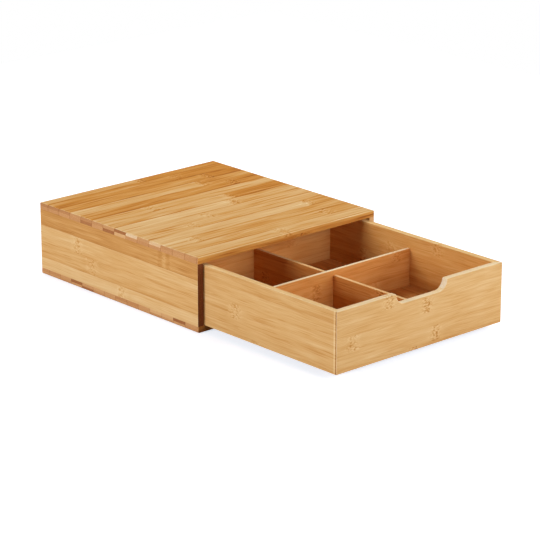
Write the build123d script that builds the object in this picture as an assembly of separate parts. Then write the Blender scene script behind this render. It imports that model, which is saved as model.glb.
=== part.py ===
from build123d import *
import os

# A bamboo box with one wide drawer, shown with the drawer pulled out.
# Origin: centre of the casing's underside. +Z up, the drawer opens towards -Y, +X is to the right.
# All lengths are in millimetres.

# Casing: two full-size boards over and under two sides and a back.
casing_width = 264.0
casing_depth = 280.0
casing_height = 86.0
top_thickness = 7.5
bottom_thickness = 7.5
side_thickness = 7.5
back_thickness = 7.5
outer_round = 2.5          # the casing's side and rear edges
front_round = 1.2          # the long front edge of the top and bottom boards
front_corner_round = 1.0   # the casing's upright front corners

# Dowels that hold the top and bottom boards to the sides and the back.
dowel_diameter = 4.0
dowel_length = 20.0
dowel_glue_gap = 0.05      # all round the dowel
dowel_end_gap = 0.5        # at each end of the dowel's hole
dowel_bite = 5.0           # depth of the hole in the top and bottom boards
side_dowel_count = 3
side_dowel_margin = 35.0   # first and last dowel, from the casing's front and back
back_dowel_count = 2
back_dowel_margin = 70.0   # first and last dowel, from the casing's sides

# Fit of the drawer in the casing.
side_clearance = 1.5
top_clearance = 2.5
running_gap = 0.2          # under the drawer, which slides on the bottom board
rear_clearance = 2.5
drawer_pull = 207.0        # how far the drawer stands out

# Drawer: four mitred walls round a grooved-in floor panel.
wall_thickness = 7.5
wall_top_round = 1.0
wall_corner_round = 0.6
floor_thickness = 4.0
floor_recess = 6.5         # from the drawer's lower edge up to the panel
groove_depth = 3.0
groove_end_gap = 0.3       # between the panel's edge and the groove's bottom

# Finger notch in the drawer's front.
notch_width = 75.0
notch_depth = 12.0
notch_lip_round = 1.5

# Dividers: a cross of two boards, half lapped where they meet.
divider_thickness = 4.0
divider_top_round = 0.5
cross_divider_drop = 14.5  # from the drawer's rim down to the divider that runs left to right
centre_divider_drop = 20.0 # from the drawer's rim down to the divider that runs front to back
housing_depth = 2.0        # of the stopped grooves that take the dividers' ends
housing_end_gap = 0.2

# Places worked out from the sizes above.
left = -casing_width / 2
right = casing_width / 2
front = -casing_depth / 2
back = casing_depth / 2
inner_left = left + side_thickness
inner_right = right - side_thickness
inner_floor = bottom_thickness
inner_ceiling = casing_height - top_thickness

drawer_left = inner_left + side_clearance
drawer_right = inner_right - side_clearance
drawer_underside = inner_floor + running_gap
drawer_rim = inner_ceiling - top_clearance
drawer_front_y = front
drawer_back_y = back - back_thickness - rear_clearance
drawer_width = drawer_right - drawer_left
drawer_height = drawer_rim - drawer_underside
drawer_depth = drawer_back_y - drawer_front_y
tray_left = drawer_left + wall_thickness
tray_right = drawer_right - wall_thickness
tray_front = drawer_front_y + wall_thickness
tray_back = drawer_back_y - wall_thickness
tray_floor = drawer_underside + floor_recess + floor_thickness
cross_divider_y = (tray_front + tray_back) / 2
centre_divider_x = (tray_left + tray_right) / 2
cross_divider_top = drawer_rim - cross_divider_drop
centre_divider_top = drawer_rim - centre_divider_drop
lap_height = (tray_floor + min(cross_divider_top, centre_divider_top)) / 2


def block(x_low, x_high, y_low, y_high, z_low, z_high):
    """A box between two opposite corners."""
    size = (x_high - x_low, y_high - y_low, z_high - z_low)
    return Pos(x_low, y_low, z_low) * Box(*size, align=(Align.MIN, Align.MIN, Align.MIN))


def spaced(first, last, count):
    """Evenly spaced places from first to last."""
    if count < 2:
        return [(first + last) / 2] * count
    step = (last - first) / (count - 1)
    return [first + step * i for i in range(count)]


def rounded_plan(height, rear_radius, front_radius):
    """The casing's plan with its rear and front corners rounded, as a prism standing on z = 0."""
    plan = Rectangle(casing_width, casing_depth)
    plan = fillet(plan.vertices().group_by(Axis.Y)[-1], rear_radius)
    plan = fillet(plan.vertices().group_by(Axis.Y)[0], front_radius)
    return extrude(plan, amount=height)


def dowel_places():
    """Plan positions of the dowels: along the middle of both sides and of the back."""
    side_x = right - side_thickness / 2
    back_y = back - back_thickness / 2
    along = spaced(front + side_dowel_margin, back - side_dowel_margin, side_dowel_count)
    across = spaced(left + back_dowel_margin, right - back_dowel_margin, back_dowel_count)
    places = [(x, y) for x in (-side_x, side_x) for y in along]
    return places + [(x, back_y) for x in across]


def dowel_rods(joint_z, into_board, radius, extra):
    """Upright rods at every dowel place.

    joint_z is the height of the face where two boards meet, into_board is +1 where the board
    that takes the short end lies above it and -1 where it lies below, extra lengthens both ends.
    """
    short_end = joint_z + into_board * (dowel_bite - dowel_end_gap + extra)
    long_end = joint_z - into_board * (dowel_length - dowel_bite + dowel_end_gap + extra)
    rod = Cylinder(radius, abs(short_end - long_end))
    return [Pos(x, y, (short_end + long_end) / 2) * rod for x, y in dowel_places()]


def dowel_holes():
    """Cutters for every dowel hole, top and bottom."""
    radius = dowel_diameter / 2 + dowel_glue_gap
    upper = dowel_rods(inner_ceiling, 1, radius, dowel_end_gap)
    lower = dowel_rods(inner_floor, -1, radius, dowel_end_gap)
    return upper + lower


def outer_board(thickness):
    """A full-size board lying on z = 0, its upper outer edges rounded on all four sides."""
    plan = rounded_plan(thickness, outer_round, front_corner_round)
    across = Rectangle(casing_width, thickness, align=(Align.CENTER, Align.MIN))
    across = fillet(across.vertices().group_by(Axis.Y)[-1], outer_round)
    across = extrude(Plane.XZ * across, amount=casing_depth / 2, both=True)
    along = Rectangle(casing_depth, thickness, align=(Align.CENTER, Align.MIN))
    upper = along.vertices().group_by(Axis.Y)[-1].sort_by(Axis.X)
    along = fillet(upper[-1], outer_round)
    upper = along.vertices().group_by(Axis.Y)[-1].sort_by(Axis.X)
    along = fillet(upper[0], front_round)
    along = extrude(Plane.YZ * along, amount=casing_width / 2, both=True)
    return plan & across & along


def top_board():
    board = Pos(0, 0, inner_ceiling) * outer_board(top_thickness)
    return board - dowel_holes()


def bottom_board():
    board = outer_board(bottom_thickness).mirror(Plane.XY)
    return Pos(0, 0, bottom_thickness) * board - dowel_holes()


def upright_board(x_low, x_high, y_low, y_high):
    """A casing board that stands between the bottom and top boards, within the rounded plan."""
    plan = rounded_plan(casing_height, outer_round, front_corner_round)
    board = block(x_low, x_high, y_low, y_high, inner_floor, inner_ceiling)
    return (board & plan) - dowel_holes()


def mitred_plan(side):
    """Plan outline of one drawer wall, mitred at both ends, counter-clockwise from its outer face."""
    outer = {
        "front": ((drawer_left, drawer_front_y), (drawer_right, drawer_front_y)),
        "right": ((drawer_right, drawer_front_y), (drawer_right, drawer_back_y)),
        "back": ((drawer_right, drawer_back_y), (drawer_left, drawer_back_y)),
        "left": ((drawer_left, drawer_back_y), (drawer_left, drawer_front_y)),
    }[side]
    inner = {
        "front": ((tray_right, tray_front), (tray_left, tray_front)),
        "right": ((tray_right, tray_back), (tray_right, tray_front)),
        "back": ((tray_left, tray_back), (tray_right, tray_back)),
        "left": ((tray_left, tray_front), (tray_left, tray_back)),
    }[side]
    return Polygon(*outer, *inner, align=None)


def drawer_corners():
    """The drawer's whole outline as a prism, its four upright corners eased."""
    plan = Rectangle(drawer_width, drawer_depth)
    plan = fillet(plan.vertices(), wall_corner_round)
    middle_x = (drawer_left + drawer_right) / 2
    middle_y = (drawer_front_y + drawer_back_y) / 2
    return Pos(middle_x, middle_y, drawer_underside) * extrude(plan, amount=drawer_height)


def rim_edges(wall):
    """The edges round the top of the wall's two broad faces, down into the notch where it has one."""
    broad = wall.faces().sort_by(SortBy.AREA)[-2:]
    edges = ShapeList(edge for face in broad for edge in face.edges())
    return edges - edges.filter_by(Axis.Z) - edges.group_by(Axis.Z)[0]


def floor_groove():
    """The space that the floor panel's edges take out of all four walls."""
    return block(
        tray_left - groove_depth,
        tray_right + groove_depth,
        tray_front - groove_depth,
        tray_back + groove_depth,
        drawer_underside + floor_recess,
        tray_floor,
    )


def cross_housing():
    """The stopped grooves for the ends of the cross divider, as one block right through."""
    return block(
        tray_left - housing_depth,
        tray_right + housing_depth,
        cross_divider_y - divider_thickness / 2,
        cross_divider_y + divider_thickness / 2,
        tray_floor,
        cross_divider_top,
    )


def centre_housing():
    """The stopped grooves for the ends of the centre divider, as one block right through."""
    return block(
        centre_divider_x - divider_thickness / 2,
        centre_divider_x + divider_thickness / 2,
        tray_front - housing_depth,
        tray_back + housing_depth,
        tray_floor,
        centre_divider_top,
    )


def finger_notch():
    """A slot across the front's rim whose round ends have the notch's depth as their radius."""
    slot = SlotOverall(notch_width, 2 * notch_depth)
    cutter = extrude(Plane.XZ * slot, amount=wall_thickness, both=True)
    return Pos((drawer_left + drawer_right) / 2, drawer_front_y, drawer_rim) * cutter


def drawer_wall(side):
    """One mitred drawer wall with its rim rounded, grooved for the floor and the dividers."""
    wall = Pos(0, 0, drawer_underside) * extrude(mitred_plan(side), amount=drawer_height)
    if side == "front":
        wall = wall - finger_notch()
        lips = wall.edges().filter_by(Axis.Y).group_by(Axis.Z)[-1]
        wall = fillet(lips, notch_lip_round)
    wall = fillet(rim_edges(wall), wall_top_round)
    wall = wall & drawer_corners()
    return wall - [floor_groove(), cross_housing(), centre_housing()]


def floor_panel():
    edge = groove_depth - groove_end_gap
    return block(
        tray_left - edge,
        tray_right + edge,
        tray_front - edge,
        tray_back + edge,
        drawer_underside + floor_recess,
        tray_floor,
    )


def divider_board(x_low, x_high, y_low, y_high, top):
    """A thin upright board on the drawer's floor, its two long upper edges eased."""
    board = block(x_low, x_high, y_low, y_high, tray_floor, top)
    long_axis = Axis.X if x_high - x_low > y_high - y_low else Axis.Y
    return fillet(board.edges().filter_by(long_axis).group_by(Axis.Z)[-1], divider_top_round)


def lap(z_low, z_high):
    """The upright space that both dividers cross in, between two heights."""
    half = divider_thickness / 2
    return block(
        centre_divider_x - half,
        centre_divider_x + half,
        cross_divider_y - half,
        cross_divider_y + half,
        z_low,
        z_high,
    )


def cross_divider():
    """Runs left to right; its half of the lap is open at the lower edge."""
    reach = housing_depth - housing_end_gap
    board = divider_board(
        tray_left - reach,
        tray_right + reach,
        cross_divider_y - divider_thickness / 2,
        cross_divider_y + divider_thickness / 2,
        cross_divider_top,
    )
    return board - lap(tray_floor, lap_height)


def centre_divider():
    """Runs front to back; its half of the lap is open at the upper edge."""
    reach = housing_depth - housing_end_gap
    board = divider_board(
        centre_divider_x - divider_thickness / 2,
        centre_divider_x + divider_thickness / 2,
        tray_front - reach,
        tray_back + reach,
        centre_divider_top,
    )
    return board - lap(lap_height, max(cross_divider_top, centre_divider_top))


casing = {
    "top_board": top_board(),
    "bottom_board": bottom_board(),
    "left_side_board": upright_board(left, inner_left, front, back),
    "right_side_board": upright_board(inner_right, right, front, back),
    "back_board": upright_board(inner_left, inner_right, back - back_thickness, back),
    "top_dowels": Compound(children=dowel_rods(inner_ceiling, 1, dowel_diameter / 2, 0)),
    "bottom_dowels": Compound(children=dowel_rods(inner_floor, -1, dowel_diameter / 2, 0)),
}

drawer = {
    "drawer_front": drawer_wall("front"),
    "drawer_back": drawer_wall("back"),
    "drawer_left_side": drawer_wall("left"),
    "drawer_right_side": drawer_wall("right"),
    "drawer_floor_panel": floor_panel(),
    "cross_divider": cross_divider(),
    "centre_divider": centre_divider(),
}

os.makedirs("parts", exist_ok=True)
for name, piece in casing.items():
    export_step(piece, f"parts/{name}.step")
for name, piece in drawer.items():
    export_step(Pos(0, -drawer_pull, 0) * piece, f"parts/{name}.step")
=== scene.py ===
import math
from dataclasses import dataclass

import bpy
import numpy as np
from mathutils import Matrix, Vector

# A bamboo box with one wide drawer, as a plain studio photograph shows it: drawer pulled out, seen
# from the front left. All pieces are solid boards, so the looks are in how bamboo is laid up:
# strips glued edge to edge, their knuckles, fibres, joints and end grain.
# Lengths in the patterns are millimetres; everything that Blender places is in metres.

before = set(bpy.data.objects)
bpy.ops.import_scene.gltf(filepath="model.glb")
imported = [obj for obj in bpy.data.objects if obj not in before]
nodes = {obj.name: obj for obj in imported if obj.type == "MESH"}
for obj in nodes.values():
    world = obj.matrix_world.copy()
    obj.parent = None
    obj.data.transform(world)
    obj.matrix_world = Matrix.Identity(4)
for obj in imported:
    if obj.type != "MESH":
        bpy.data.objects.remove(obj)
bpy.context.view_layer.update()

MM_PER_M = 1000.0
SMOOTH = {"interpolation_type": "SMOOTHSTEP"}


# ------------------------------------------------------------------ small helpers


def linear(hex_colour):
    """An sRGB hex colour as linear RGBA."""
    channels = [int(hex_colour[i : i + 2], 16) / 255 for i in (1, 3, 5)]
    curve = [c / 12.92 if c <= 0.04045 else ((c + 0.055) / 1.055) ** 2.4 for c in channels]
    return curve + [1.0]


def add(tree, kind, inputs=(), stops=(), steps=False, **settings):
    """Adds a node. inputs holds values, or the nodes or outputs that feed the sockets: a list fills
    the sockets in order, and a dictionary goes by a socket's name or number (a Mix node's numbers
    are sockets 2 and 3, its colours 6 and 7). stops are a ramp's (place, colour) pairs, in steps
    or blended."""
    node = tree.nodes.new("ShaderNode" + kind)
    for name, value in settings.items():
        setattr(node, name, value)
    sockets = inputs.items() if isinstance(inputs, dict) else enumerate(inputs)
    for key, value in sockets:
        if isinstance(value, bpy.types.Node):
            value = next(output for output in value.outputs if output.enabled)
        if isinstance(value, bpy.types.NodeSocket):
            tree.links.new(value, node.inputs[key])
        else:
            node.inputs[key].default_value = value
    if stops:
        ramp = node.color_ramp
        ramp.interpolation = "CONSTANT" if steps else "LINEAR"
        for element, (place, colour) in zip([*ramp.elements][:2], stops[:2]):
            element.position, element.color = place, colour
        for place, colour in stops[2:]:
            ramp.elements.new(place).color = colour
    return node


# ------------------------------------------------------------------ how a board is laid up


@dataclass
class Strips:
    """The strips of one layer, counted across the board. Each row is one strip: where along its
    length its knuckle lies, its tone before and after the knuckle, and its end grain's tone, all
    from 0 for dark to 1 for pale."""

    first_joint: float
    width: float
    rows: list


@dataclass
class Board:
    """How one board is laid up: its grain runs along one axis, its strips lie side by side along
    another. A board of two layers has its second one, lower, below ply_joint. The depths say how
    much each mark darkens the wood."""

    grain: str
    across: str
    strips: Strips
    lower: Strips = None
    ply_joint: float = 0.0
    tint: str = "#ffffff"
    dark_tint: str = None  # of the dark wood in the strips, where it differs
    lower_tint: str = None  # of the second layer, where it differs
    # The long edges' tint and tone: the grain of the strips' sides, and on rims also painted light
    # from above.
    edge_tint_and_painted_light: str = "#ffffff"
    edge_tone_and_painted_light: float = 0.0  # of the board's long edges, against its faces
    fibre_width: float = 1.0
    dash_depth: float = 0.10
    streak_depth: float = 0.18
    joint_depth: float = 0.10
    knuckle_depth: float = 0.19
    bar_strip: int = -1  # a strip laid on edge, whose knuckle shows as two soft bars
    mitre_at: float = None  # a glued corner at this place along the grain


# The places along each axis that the ramps of strip facts cover.
SPAN = {"X": (-140.0, 140.0), "Y": (-360.0, 140.0), "Z": (0.0, 90.0)}


def drawn_strips(seed, first_joint, width, count, along, tone=0.55, spread=0.07, end=0.5):
    """Strips whose knuckles and tones nobody sees in the photograph, drawn from a seed."""
    draw = np.random.default_rng(seed)
    knuckles = draw.uniform(along[0], along[1], count)
    before = draw.normal(tone, spread, count)
    after = before + draw.normal(0, spread / 2, count)
    ends = draw.normal(end, 2 * spread, count).clip(0, 1)
    return Strips(first_joint, width, list(zip(knuckles, before, after, ends)))


def board_place(tree, board):
    """Where a point lies on its board, in millimetres along the grain, across the strips and
    through the thickness, and how much the surface faces each of the three ways."""
    through = ({"X", "Y", "Z"} - {board.grain, board.across}).pop()
    ways = (board.grain, board.across, through)
    seen = add(tree, "TexCoord")
    place = {0: seen.outputs["Object"], "Scale": MM_PER_M}
    place = add(tree, "VectorMath", place, operation="SCALE")
    place = add(tree, "SeparateXYZ", [place])
    facing = add(tree, "VectorMath", [seen.outputs["Normal"]], operation="ABSOLUTE")
    facing = add(tree, "SeparateXYZ", [facing])
    return [place.outputs[way] for way in ways], [facing.outputs[way] for way in ways]


def strip_of(tree, strips, crosswise):
    """The strip's number across the board, and how far across that strip, from 0 to 1."""
    first_strip = [crosswise, strips.first_joint, strips.first_joint + strips.width]
    place = add(tree, "MapRange", first_strip, clamp=False)
    number = add(tree, "Math", [place], operation="FLOOR")
    share = add(tree, "Math", [place], operation="FRACT")
    return number, share


def layer_facts(tree, strips, number, span):
    """One ramp holds each strip's facts as a colour and alpha, with the knuckle's place as a
    share of the span along the grain."""
    count = len(strips.rows)
    low, high = span
    stops = []
    for i, (knuckle, before, after, end) in enumerate(strips.rows):
        stops.append((i / count, ((knuckle - low) / (high - low), before, after, end)))
    middle = add(tree, "Math", [number, 1 / count, 0.5 / count], operation="MULTIPLY_ADD")
    return add(tree, "ValToRGB", [middle], stops=stops, steps=True)


def strip_facts(tree, board, number, ply):
    """The place of the knuckle, the tones before and after it, and the end grain's tone."""
    span = SPAN[board.grain]
    facts = layer_facts(tree, board.strips, number, span)
    end = facts.outputs["Alpha"]
    if board.lower:
        below = layer_facts(tree, board.lower, number, span)
        end = add(tree, "Mix", {0: ply, 2: below.outputs["Alpha"], 3: end})
        facts = add(tree, "Mix", {0: ply, 6: below, 7: facts}, data_type="RGBA")
    facts = add(tree, "SeparateColor", [facts])
    place = {"Value": facts.outputs[0], "To Min": span[0], "To Max": span[1]}
    return add(tree, "MapRange", place), facts.outputs[1], facts.outputs[2], end


def strip_lot(tree, number, ply, seed):
    """What chance gives each strip: where it reads its noise, and how strong its knuckle is."""
    lot = add(tree, "CombineXYZ", [number, ply, float(seed)])
    lot = add(tree, "TexWhiteNoise", {"Vector": lot}, noise_dimensions="3D")
    shift = {0: lot.outputs["Color"], "Scale": 300.0}
    shift = add(tree, "VectorMath", shift, operation="SCALE")
    strength = {"Value": lot.outputs["Value"], "To Min": 0.55, "To Max": 1.15}
    return shift, add(tree, "MapRange", strength)


# ------------------------------------------------------------------ the wood's pattern

# Sizes of streaks in millimetres: along the grain, and across it.
BROAD_STREAK = (120, 4.5)
PATCH = (60, 9)
FLECK = (3.2, 1.8)
LINE_WANDER = (14, 4.5)
FIBRE_WAVE = (60, 14)
FIBRE_SWIRL = (6, 5)

# Fibres and the dark dashes among them are as wide as the board says, and this many times as
# long. They are drawn a millimetre wide or more, coarser than real ones, so that they show.
FIBRE_LENGTH = 45
DASH_LENGTH = 28

# Distances in millimetres. A fade is none of the mark at its first distance, all at its second.
KNUCKLE_LINE = 3.1  # from the knuckle's middle to each of its two lines
KNUCKLE_LINE_FADE = (2.0, 0.3)
FLECK_FADE = (12, 1)
HALO_FADE = (15, 5)
EDGE_BAR = 6.5  # from the knuckle's middle to each bar, on a strip laid on edge
EDGE_BAR_FADE = (5.5, 1.5)
MITRE_GLUE_FADE = (1.7, 1.2)
MITRE_PALE_LINE = 3.1
MITRE_PALE_FADE = (1.5, 0.8)
GLUE_FADE = (0.8, 0.2)
STRIP_EDGE_FADE = (4.5, 0.0)

# The wood's colours by tone, along the fibres and cut across them.
FACE_TONES = [
    (0.0, linear("#7a3f18")),
    (0.22, linear("#b27335")),
    (0.45, linear("#cf9858")),
    (0.60, linear("#dcae72")),
    (0.80, linear("#e9c692")),
    (1.0, linear("#f4dfb9")),
]
END_TONES = [
    (0.0, linear("#6e3a1c")),
    (0.25, linear("#a66a40")),
    (0.5, linear("#c9915f")),
    (0.75, linear("#dfb27d")),
    (1.0, linear("#f3e2c6")),
]

LACQUER_RELIEF = 0.00004  # metres, between the fibres


def streaks(tree, place, shift, length, width, detail):
    """Noise drawn out along the grain: streaks of about that length and width in millimetres. Its
    level lies around 0.5, mostly from 0.3 to 0.7."""
    size = (1 / length, 1 / width, 1 / width)
    place = add(tree, "VectorMath", [place, size, shift], operation="MULTIPLY_ADD")
    noise = {"Vector": place, "Scale": 1.0, "Detail": detail, "Roughness": 0.6}
    return add(tree, "TexNoise", noise)


def past_knuckle(tree, along, knuckle_at, straight, shift):
    """How far a point lies past its strip's knuckle, whose line wanders a little."""
    wander = streaks(tree, straight, shift, *LINE_WANDER, 2)
    wander = add(tree, "MapRange", {"Value": wander, "To Min": -3.5, "To Max": 3.5})
    past = add(tree, "Math", [along, knuckle_at], operation="SUBTRACT")
    return add(tree, "Math", [past, wander], operation="ADD")


def knuckle_mark(tree, board, away, number, straight, shift, strength):
    """A knuckle on a strip's face: a cluster of brown and pale flecks, closest together along two
    ragged lines 6 mm apart. On a strip laid on edge it is two soft bars."""
    grit = streaks(tree, straight, shift, *FLECK, 1)
    brown = add(tree, "MapRange", [grit, 0.46, 0.64], **SMOOTH)
    pale = add(tree, "MapRange", [grit, 0.44, 0.30, 0.0, 0.45], **SMOOTH)
    flecks = add(tree, "Math", [brown, pale], operation="SUBTRACT")
    near = add(tree, "MapRange", [away, *FLECK_FADE], **SMOOTH)
    cluster = add(tree, "Math", [near, flecks], operation="MULTIPLY")
    line = add(tree, "Math", [away, KNUCKLE_LINE], operation="SUBTRACT")
    line = add(tree, "Math", [line], operation="ABSOLUTE")
    line = add(tree, "MapRange", [line, *KNUCKLE_LINE_FADE, 0.0, 0.5], **SMOOTH)
    ragged = add(tree, "MapRange", [grit, 0.38, 0.56], **SMOOTH)
    mark = add(tree, "Math", [line, ragged, cluster], operation="MULTIPLY_ADD")
    mark = add(tree, "Math", [mark, strength], operation="MULTIPLY")
    if board.bar_strip < 0:
        return mark
    bars = add(tree, "Math", [away, EDGE_BAR], operation="SUBTRACT")
    bars = add(tree, "Math", [bars], operation="ABSOLUTE")
    bars = add(tree, "MapRange", [bars, *EDGE_BAR_FADE, 0.0, 0.55], **SMOOTH)
    on_edge = [number, float(board.bar_strip), 0.5]
    on_edge = add(tree, "Math", on_edge, operation="COMPARE")
    return add(tree, "Mix", {0: on_edge, 2: mark, 3: bars})


def place_in_fibres(tree, straight, along, crosswise, through, halo, shift):
    """A point's place once the fibres are bent: they wave a little, and more beside the knuckle."""
    wave = streaks(tree, straight, shift, *FIBRE_WAVE, 1)
    wave = add(tree, "MapRange", {"Value": wave, "To Min": -2, "To Max": 2})
    swirl = streaks(tree, straight, shift, *FIBRE_SWIRL, 1)
    swirl = add(tree, "MapRange", {"Value": swirl, "To Min": -5, "To Max": 5})
    swirl = add(tree, "Math", [swirl, halo, wave], operation="MULTIPLY_ADD")
    wavy = add(tree, "Math", [crosswise, swirl], operation="ADD")
    return add(tree, "CombineXYZ", [along, wavy, through])


def strip_joint(tree, strips, share, patches):
    """A joint between strips: a thin glue line, and a darker edge beside it. The second value is
    both together, coming and going along the joint."""
    to_joint = add(tree, "Math", [share, 0.5], operation="PINGPONG")
    fade = [distance / strips.width for distance in GLUE_FADE]
    glue = add(tree, "MapRange", [to_joint, *fade], **SMOOTH)
    fade = [distance / strips.width for distance in STRIP_EDGE_FADE]
    edge = add(tree, "MapRange", [share, *fade], **SMOOTH)
    presence = add(tree, "MapRange", [patches, 0.34, 0.6, 0.15], **SMOOTH)
    joint = add(tree, "Math", [glue, 0.5, edge], operation="MULTIPLY_ADD")
    return glue, add(tree, "Math", [joint, presence], operation="MULTIPLY")


def mitre_line(tree, along, face_on, corner):
    """A glued mitre seen from the side: a line of glue and, next to it, a sanded pale one."""
    away = add(tree, "Math", [along, corner], operation="SUBTRACT")
    glue = add(tree, "MapRange", [away, *MITRE_GLUE_FADE], **SMOOTH)
    pale = add(tree, "Math", [away, MITRE_PALE_LINE], operation="SUBTRACT")
    pale = add(tree, "Math", [pale], operation="ABSOLUTE")
    pale = add(tree, "MapRange", [pale, *MITRE_PALE_FADE, 0.0, 0.45], **SMOOTH)
    line = add(tree, "Math", [pale, glue], operation="SUBTRACT")
    return add(tree, "Math", [line, face_on], operation="MULTIPLY")


def face_colour(tree, board, tone, ply, edge_grain_and_lit_rim):
    """The colour along the fibres: the wood's colour for its tone, and the board's tints on it."""
    face = add(tree, "ValToRGB", [tone], stops=FACE_TONES)
    paleness = add(tree, "MapRange", [tone, 0.36, 0.62])
    tints = {0: paleness, 6: linear(board.dark_tint or board.tint), 7: linear(board.tint)}
    tints = add(tree, "Mix", tints, data_type="RGBA")
    tints = {0: ply, 6: linear(board.lower_tint or board.tint), 7: tints}
    tints = add(tree, "Mix", tints, data_type="RGBA")
    tints = {0: edge_grain_and_lit_rim, 6: tints, 7: linear(board.edge_tint_and_painted_light)}
    tints = add(tree, "Mix", tints, data_type="RGBA")
    face = {0: 1.0, 6: face, 7: tints}
    return add(tree, "Mix", face, data_type="RGBA", blend_type="MULTIPLY")


def end_grain(tree, crosswise, through, end, glue):
    """Cut across, the fibre bundles show as dots, drawn 1 mm apart, which is coarser than real
    ones; each strip is a brick of its own tone, from red-brown to straw."""
    cut = add(tree, "CombineXYZ", [crosswise, through])
    dots = add(tree, "TexVoronoi", {"Vector": cut, "Scale": 1.0}, voronoi_dimensions="2D")
    dots = add(tree, "Math", [dots, 0.45], operation="SUBTRACT")
    tone = add(tree, "Math", [dots, 0.2, end], operation="MULTIPLY_ADD")
    tone = add(tree, "Math", [glue, -0.15, tone], operation="MULTIPLY_ADD")
    return add(tree, "ValToRGB", [tone], stops=END_TONES)


def bamboo(name, board, seed):
    """Laminated bamboo, planed, sanded and coated with matt lacquer: a warm straw to amber wood
    with straight fine fibres, joints between its strips, a knuckle on each strip, and dotted,
    darker end grain."""
    material = bpy.data.materials.new(name)
    material.use_nodes = True
    tree = material.node_tree
    tree.nodes.clear()

    (along, crosswise, through), (end_on, edge_on, face_on) = board_place(tree, board)
    straight = add(tree, "CombineXYZ", [along, crosswise, through])
    number, share = strip_of(tree, board.strips, crosswise)
    ply = add(tree, "Math", [through, board.ply_joint], operation="GREATER_THAN")
    knuckle_at, before, after, end = strip_facts(tree, board, number, ply)
    shift, strength = strip_lot(tree, number, ply, seed)

    past = past_knuckle(tree, along, knuckle_at, straight, shift)
    away = add(tree, "Math", [past], operation="ABSOLUTE")
    knuckle = knuckle_mark(tree, board, away, number, straight, shift, strength)
    halo = add(tree, "MapRange", [away, *HALO_FADE], **SMOOTH)

    bent = place_in_fibres(tree, straight, along, crosswise, through, halo, shift)
    width = board.fibre_width
    broad = streaks(tree, bent, shift, *BROAD_STREAK, 2)
    fine = streaks(tree, bent, shift, FIBRE_LENGTH * width, width, 3)
    patches = streaks(tree, bent, shift, *PATCH, 1)
    dashes = streaks(tree, bent, shift, DASH_LENGTH * width, width, 1)
    dashes = add(tree, "MapRange", [dashes, 0.54, 0.72], **SMOOTH)
    glue, joint = strip_joint(tree, board.strips, share, patches)

    # Arrises are painted paler, as a highlight: there the surface faces two ways at once.
    painted_arris_highlight = add(tree, "Math", [face_on, edge_on], operation="MULTIPLY")
    painted_arris_highlight = add(tree, "Math", [face_on, end_on, painted_arris_highlight], operation="MULTIPLY_ADD")
    # Where the surface faces across the strips: the strips' side grain, and on the drawer's rims
    # painted light from above.
    edge_grain_and_lit_rim = add(tree, "MapRange", [edge_on, 0.7, 0.95], **SMOOTH)

    # One tone for all of it, from dark to pale: a source, how much it counts, and its middle.
    beyond = add(tree, "MapRange", [past, -3, 3], **SMOOTH)
    tone = add(tree, "Mix", {0: beyond, 2: before, 3: after})
    sources = [
        (broad, board.streak_depth, 0.5),
        (fine, 0.50, 0.5),
        (patches, 0.22, 0.5),
        (dashes, -board.dash_depth, 0.15),
        (joint, -board.joint_depth, 0.0),
        (knuckle, -board.knuckle_depth, 0.0),
        (halo, 0.05, 0.0),
        (painted_arris_highlight, 0.34, 0.0),
        (edge_grain_and_lit_rim, board.edge_tone_and_painted_light, 0.0),
    ]
    if board.mitre_at is not None:
        sources.append((mitre_line(tree, along, face_on, board.mitre_at), 0.4, 0.0))
    for source, gain, middle in sources:
        offset = add(tree, "Math", [source, middle], operation="SUBTRACT")
        tone = add(tree, "Math", [offset, gain, tone], operation="MULTIPLY_ADD")

    face = face_colour(tree, board, tone, ply, edge_grain_and_lit_rim)
    cut = end_grain(tree, crosswise, through, end, glue)
    at_end = add(tree, "MapRange", [end_on, 0.48, 0.66], **SMOOTH)
    colour = add(tree, "Mix", {0: at_end, 6: face, 7: cut}, data_type="RGBA")

    # Matt lacquer over sanded wood: dull, with a faint relief of fibres.
    bump = {"Height": fine, "Strength": 0.25, "Distance": LACQUER_RELIEF}
    bump = add(tree, "Bump", bump)
    roughness = add(tree, "MapRange", {"Value": fine, "To Min": 0.80, "To Max": 0.64})
    lacquer = {"Base Color": colour, "Roughness": roughness, "Normal": bump}
    lacquer.update({"IOR": 1.5, "Specular IOR Level": 0.08})
    shader = add(tree, "BsdfPrincipled", lacquer)
    add(tree, "OutputMaterial", {"Surface": shader})
    return material


def dress(node, material):
    """Gives a CAD node its material."""
    mesh = nodes[node].data
    mesh.materials.clear()
    mesh.materials.append(material)


# ------------------------------------------------------------------ the casing's boards

# Strips of 20 mm; on the top and bottom boards their joints show along the ends too.
CASING_FIRST_JOINT = -138.3
CASING_STRIP = 20.15
CASING_STRIPS = 14
SIDE_FIRST_JOINT = 1.4
SIDE_STRIP = 19.6
SIDE_STRIPS = 4
CASING_KNUCKLES = (-120, 120)  # where drawn knuckles may lie
STRAW = "#fffdf6"
AMBER = "#ffea98"


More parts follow.
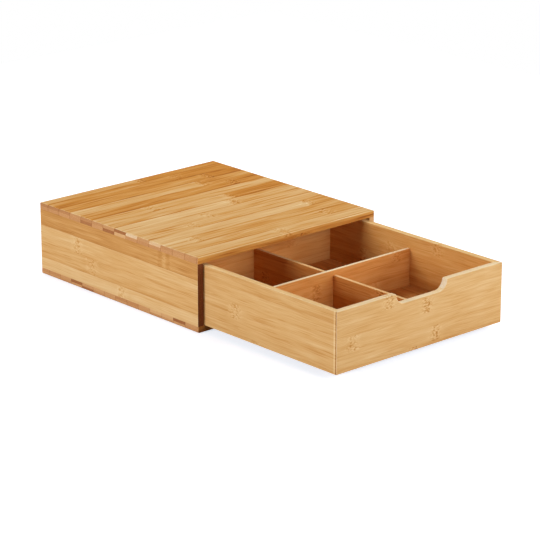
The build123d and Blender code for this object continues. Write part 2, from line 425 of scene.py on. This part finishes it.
def dress_top_board():
    """Strips from the front to the back; the upper layer's knuckles and tones as photographed. The
    camera sees this board at a low angle, so its fibres are drawn wider and its marks deeper."""
    upper = [
        (0, 0.63, 0.61, 0.50),
        (88, 0.55, 0.49, 0.52),
        (-90, 0.66, 0.52, 0.48),
        (95, 0.66, 0.48, 0.80),
        (-60, 0.63, 0.58, 0.55),
        (-22, 0.62, 0.57, 0.85),
        (33, 0.70, 0.57, 0.28),
        (47, 0.59, 0.38, 0.55),
        (-52, 0.56, 0.58, 0.50),
        (88, 0.42, 0.37, 0.45),
        (56, 0.58, 0.45, 0.52),
        (82, 0.44, 0.34, 0.42),
        (52, 0.43, 0.39, 0.40),
        (10, 0.53, 0.42, 0.42),
    ]
    lower_ends = [0.5, 0.55, 0.52, 0.5, 0.48, 0.5, 0.68, 0.26, 0.55, 0.32, 0.5, 0.54, 0.5, 0.5]
    lower = [(20, 0.46, 0.46, end) for end in lower_ends]
    board = Board("X", "Y", Strips(CASING_FIRST_JOINT, CASING_STRIP, upper))
    board.lower = Strips(CASING_FIRST_JOINT, CASING_STRIP, lower)
    board.ply_joint = 82.4
    board.tint = STRAW
    board.dark_tint = AMBER
    board.lower_tint = AMBER
    board.edge_tint_and_painted_light = "#fff2cc"
    board.edge_tone_and_painted_light = -0.13
    board.fibre_width = 2.6
    board.dash_depth = 0.22
    board.streak_depth = 0.40
    board.joint_depth = 0.22
    board.knuckle_depth = 0.24
    dress("top_board", bamboo("flat_pressed_bamboo_top", board, 1))


def dress_bottom_board():
    """Two layers, whose end grain on the left is as photographed; the rest of it is drawn."""
    upper_ends = [0.55, 0.24, 0.68, 0.72, 0.56, 0.46, 0.44]
    upper_ends += [0.56, 0.61, 0.56, 0.26, 0.56, 0.48, 0.46]
    lower_ends = [0.5, 0.56, 0.54, 0.5, 0.56, 0.5, 0.56, 0.56, 0.5, 0.28, 0.56, 0.5, 0.56, 0.54]
    laid = (CASING_FIRST_JOINT, CASING_STRIP, CASING_STRIPS, CASING_KNUCKLES)
    upper = drawn_strips(5, *laid)
    lower = drawn_strips(6, *laid)
    upper.rows = [(*row[:3], end) for row, end in zip(upper.rows, upper_ends)]
    lower.rows = [(*row[:3], end) for row, end in zip(lower.rows, lower_ends)]
    board = Board("X", "Y", upper, lower, ply_joint=4.0)
    # Its long edges are darker: painted shade of the drawer over its front edge.
    board.edge_tone_and_painted_light = -0.36
    board.joint_depth = 0.16
    dress("bottom_board", bamboo("flat_pressed_bamboo_bottom", board, 2))


def dress_upright_boards():
    """The left side as photographed, its top strip laid on edge; the others are drawn."""
    # End grain tone 0: the darkest end grain, with painted shade on the front end, which lies
    # beside the drawer.
    rows = [
        (-8, 0.69, 0.69, 0.0),
        (45, 0.57, 0.56, 0.0),
        (71, 0.61, 0.64, 0.0),
        (-83, 0.44, 0.42, 0.0),
    ]
    left = Board("Y", "Z", Strips(SIDE_FIRST_JOINT, SIDE_STRIP, rows), bar_strip=3)
    dress("left_side_board", bamboo("bamboo_left_side", left, 3))
    laid = (SIDE_FIRST_JOINT, SIDE_STRIP, SIDE_STRIPS, CASING_KNUCKLES)
    right = Board("Y", "Z", drawn_strips(7, *laid, end=0.55))
    dress("right_side_board", bamboo("bamboo_right_side", right, 4))
    back = Board("X", "Z", drawn_strips(8, *laid))
    dress("back_board", bamboo("bamboo_back", back, 5))


def dress_dowels():
    """Dowels turned from strips of 20 mm, with the grain along them."""
    dowel = Board("Z", "X", drawn_strips(13, -140, 20, 14, along=(0, 90)))
    rod = bamboo("turned_bamboo_dowel", dowel, 13)
    dress("top_dowels", rod)
    dress("bottom_dowels", rod)


# ------------------------------------------------------------------ the drawer's boards

WALL_FIRST_JOINT = -6.0
WALL_STRIP = 17.0
WALL_STRIPS = 5
DIVIDER_FIRST_JOINT = -1.0
DIVIDER_STRIPS = 4
FLOOR_FIRST_JOINT = -128
FLOOR_STRIP = 19.0
FLOOR_STRIPS = 14
INSIDE_KNUCKLES = (-330, -90)  # where drawn knuckles may lie, from the drawer's front to its back
WALL_END_TONE = 0.95  # the walls' ends are mitred, so they are nearly as pale as their faces
DIVIDER_END_TONE = 0.5
# The rims are paler: partly sanded, partly painted light from above.
RIM_SANDING_AND_PAINTED_LIGHT = 0.31
# A redder tint for the drawer's inner boards: painted shade of the dim inside.
INSIDE_SHADE_TINT = "#ffe6cb"


def wall_strips(*rows):
    """A wall's strips from the bottom up: knuckle and the tones before and after it."""
    return Strips(WALL_FIRST_JOINT, WALL_STRIP, [(*row, WALL_END_TONE) for row in rows])


def dress_drawer_front():
    """As photographed."""
    strips = wall_strips(
        (-10, 0.57, 0.48),
        (22, 0.61, 0.60),
        (-100, 0.58, 0.62),
        (8, 0.62, 0.63),
        (-48, 0.62, 0.62),
    )
    front = Board("X", "Z", strips)
    front.edge_tone_and_painted_light = RIM_SANDING_AND_PAINTED_LIGHT - 0.03
    front.joint_depth = 0.03
    front.knuckle_depth = 0.25
    dress("drawer_front", bamboo("bamboo_drawer_front", front, 6))


def dress_drawer_sides():
    """The left side's outer face and the right side's inner one as photographed."""
    strips = wall_strips(
        (-221, 0.57, 0.57),
        (-120, 0.57, 0.57),
        (-190, 0.60, 0.58),
        (-100, 0.58, 0.58),
        (-95, 0.53, 0.56),
    )
    left = Board("Y", "Z", strips)
    left.edge_tint_and_painted_light = "#fff9ea"
    left.edge_tone_and_painted_light = RIM_SANDING_AND_PAINTED_LIGHT - 0.07
    left.joint_depth = 0.04
    left.mitre_at = -347.0
    dress("drawer_left_side", bamboo("bamboo_drawer_left", left, 7))

    outer = drawn_strips(14, WALL_FIRST_JOINT, WALL_STRIP, WALL_STRIPS, along=(-320, -100))
    inner = wall_strips(
        (-300, 0.46, 0.46),
        (-160, 0.49, 0.49),
        (-139, 0.53, 0.46),
        (-184, 0.57, 0.53),
        (-256, 0.56, 0.58),
    )
    right = Board("Y", "Z", outer, inner, ply_joint=119.25)
    # The inner face's warmer tint is painted shade of the drawer's inside.
    right.lower_tint = "#fff1d6"
    right.edge_tint_and_painted_light = "#fff4dc"
    right.edge_tone_and_painted_light = RIM_SANDING_AND_PAINTED_LIGHT - 0.05
    right.joint_depth = 0.04
    dress("drawer_right_side", bamboo("bamboo_drawer_right", right, 8))


def dress_drawer_inside():
    """The cross divider as photographed, the rest drawn; all tinted slightly redder, as painted
    shade of the drawer's dim inside.
    """
    laid = (WALL_FIRST_JOINT, WALL_STRIP, WALL_STRIPS, (-100, 100))
    back = Board("X", "Z", drawn_strips(9, *laid, tone=0.57), tint=INSIDE_SHADE_TINT)
    back.edge_tone_and_painted_light = RIM_SANDING_AND_PAINTED_LIGHT
    dress("drawer_back", bamboo("bamboo_drawer_back", back, 9))

    laid = (FLOOR_FIRST_JOINT, FLOOR_STRIP, FLOOR_STRIPS, INSIDE_KNUCKLES)
    floor_panel = Board("Y", "X", drawn_strips(10, *laid, tone=0.58), tint=INSIDE_SHADE_TINT)
    floor_panel.joint_depth = 0.22
    dress("drawer_floor_panel", bamboo("bamboo_drawer_floor", floor_panel, 10))

    rows = [(60, 0.57, 0.57), (60, 0.57, 0.56), (-27, 0.56, 0.54), (95, 0.52, 0.50)]
    rows = [(*row, DIVIDER_END_TONE) for row in rows]
    cross = Board("X", "Z", Strips(DIVIDER_FIRST_JOINT, WALL_STRIP, rows), tint=INSIDE_SHADE_TINT)
    # The divider's top is paler: partly sanded, partly painted light from above.
    cross.edge_tone_and_painted_light = 0.42
    dress("cross_divider", bamboo("bamboo_cross_divider", cross, 11))

    laid = (DIVIDER_FIRST_JOINT, WALL_STRIP, DIVIDER_STRIPS, INSIDE_KNUCKLES)
    centre = Board("Y", "Z", drawn_strips(12, *laid), tint=INSIDE_SHADE_TINT)
    # Its top is paler too: partly sanded, partly painted light from above.
    centre.edge_tint_and_painted_light = "#fff0dc"
    centre.edge_tone_and_painted_light = 0.36
    dress("centre_divider", bamboo("bamboo_centre_divider", centre, 12))


dress_top_board()
dress_bottom_board()
dress_upright_boards()
dress_dowels()
dress_drawer_front()
dress_drawer_sides()
dress_drawer_inside()


# ------------------------------------------------------------------ studio

# Lengths are metres. The floor ends where the lamps still light it evenly, and beyond it the world
# is as white.
FLOOR_REACH = 1.0
FLOOR_DROP = 0.0002
FLOOR_GLOW = 0.76
WORLD_LEVEL = 0.05
STUDIO_MIDDLE = (0.0, -0.1, 0.04)
LAMP_DISTANCE = 1.8


def seen_plainly(tree):
    """1 for rays that see a plain white background: from the camera, or off gloss and glass."""
    ray = add(tree, "LightPath")
    plain = [ray.outputs["Is Camera Ray"], ray.outputs["Is Glossy Ray"]]
    plain = add(tree, "Math", plain, operation="MAXIMUM")
    plain = [plain, ray.outputs["Is Transmission Ray"]]
    return add(tree, "Math", plain, operation="MAXIMUM")


def studio_floor():
    """Matt white paper. Part of what the camera sees of it is a plain glow, so that it is white
    where it is lit and a pale grey in the object's shadow."""
    mesh = bpy.data.meshes.new("studio_floor")
    corners = [(-1, -1), (1, -1), (1, 1), (-1, 1)]
    corners = [(x * FLOOR_REACH, y * FLOOR_REACH, -FLOOR_DROP) for x, y in corners]
    mesh.from_pydata(corners, [], [(0, 1, 2, 3)])
    floor = bpy.data.objects.new("studio_floor", mesh)
    bpy.context.scene.collection.objects.link(floor)
    material = bpy.data.materials.new("matt_white_paper")
    material.use_nodes = True
    tree = material.node_tree
    tree.nodes.clear()
    paper = add(tree, "BsdfDiffuse", {"Color": linear("#dcdcdc")})
    glow = add(tree, "Emission", {"Color": linear("#eef5ff"), "Strength": FLOOR_GLOW})
    lit = add(tree, "AddShader", [paper, glow])
    surface = add(tree, "MixShader", [seen_plainly(tree), paper, lit])
    add(tree, "OutputMaterial", {"Surface": surface})
    mesh.materials.append(material)


def studio_world():
    """A dim white room that the camera sees as plain white."""
    world = bpy.data.worlds.new("studio")
    bpy.context.scene.world = world
    world.use_nodes = True
    tree = world.node_tree
    tree.nodes.clear()
    level = {"Value": seen_plainly(tree), "To Min": WORLD_LEVEL, "To Max": 1.0}
    level = add(tree, "MapRange", level)
    sky = add(tree, "Background", {"Color": linear("#ffffff"), "Strength": level})
    add(tree, "OutputWorld", {"Surface": sky})


def softbox(name, azimuth, elevation, size, watts):
    """A square soft light, turned to the object. Azimuth 0 is in front, 90 to the right."""
    azimuth = math.radians(azimuth)
    elevation = math.radians(elevation)
    outward = Vector(
        (
            math.sin(azimuth) * math.cos(elevation),
            -math.cos(azimuth) * math.cos(elevation),
            math.sin(elevation),
        )
    )
    light = bpy.data.lights.new(name, "AREA")
    light.shape = "SQUARE"
    light.size = size
    light.energy = watts
    lamp = bpy.data.objects.new(name, light)
    bpy.context.scene.collection.objects.link(lamp)
    lamp.location = Vector(STUDIO_MIDDLE) + outward * LAMP_DISTANCE
    lamp.rotation_euler = outward.to_track_quat("Z", "Y").to_euler()


studio_floor()
studio_world()
softbox("left_fill", -94, 13, 0.5, 19.4)
softbox("front_fill", 0, 20, 0.8, 12.0)
softbox("key", 45, 20, 1.0, 12.5)
softbox("back_light", 150, 55, 1.0, 20.6)


# ------------------------------------------------------------------ camera

# Solved from the box's edges in the photograph. The aim is in metres from the frame's origin, to
# the right and up as the camera sees it.
CAMERA_AZIMUTH = math.radians(-42.019)
CAMERA_ELEVATION = math.radians(18.275)
CAMERA_DISTANCE = 2.91616
IMAGE_SIZE = 540
FOCAL_PIXELS = 2529.46
AIM_RIGHT = 0.07314
AIM_UP = 0.00853


def photograph_camera():
    """The photograph's camera, aimed a little off the box's middle."""
    back = Vector(
        (
            math.sin(CAMERA_AZIMUTH) * math.cos(CAMERA_ELEVATION),
            -math.cos(CAMERA_AZIMUTH) * math.cos(CAMERA_ELEVATION),
            math.sin(CAMERA_ELEVATION),
        )
    )
    rightward = Vector((math.cos(CAMERA_AZIMUTH), math.sin(CAMERA_AZIMUTH), 0))
    upward = back.cross(rightward)
    camera = bpy.data.cameras.new("camera")
    camera.sensor_width = 36.0
    camera.lens = FOCAL_PIXELS / IMAGE_SIZE * camera.sensor_width
    camera.clip_start = 0.1
    camera.clip_end = 20
    viewer = bpy.data.objects.new("camera", camera)
    bpy.context.scene.collection.objects.link(viewer)
    turned = Matrix((rightward, upward, back)).transposed().to_4x4()
    place = rightward * AIM_RIGHT + upward * AIM_UP + back * CAMERA_DISTANCE
    viewer.matrix_world = Matrix.Translation(place) @ turned
    bpy.context.scene.camera = viewer


photograph_camera()
bpy.context.scene.view_settings.view_transform = "Standard"
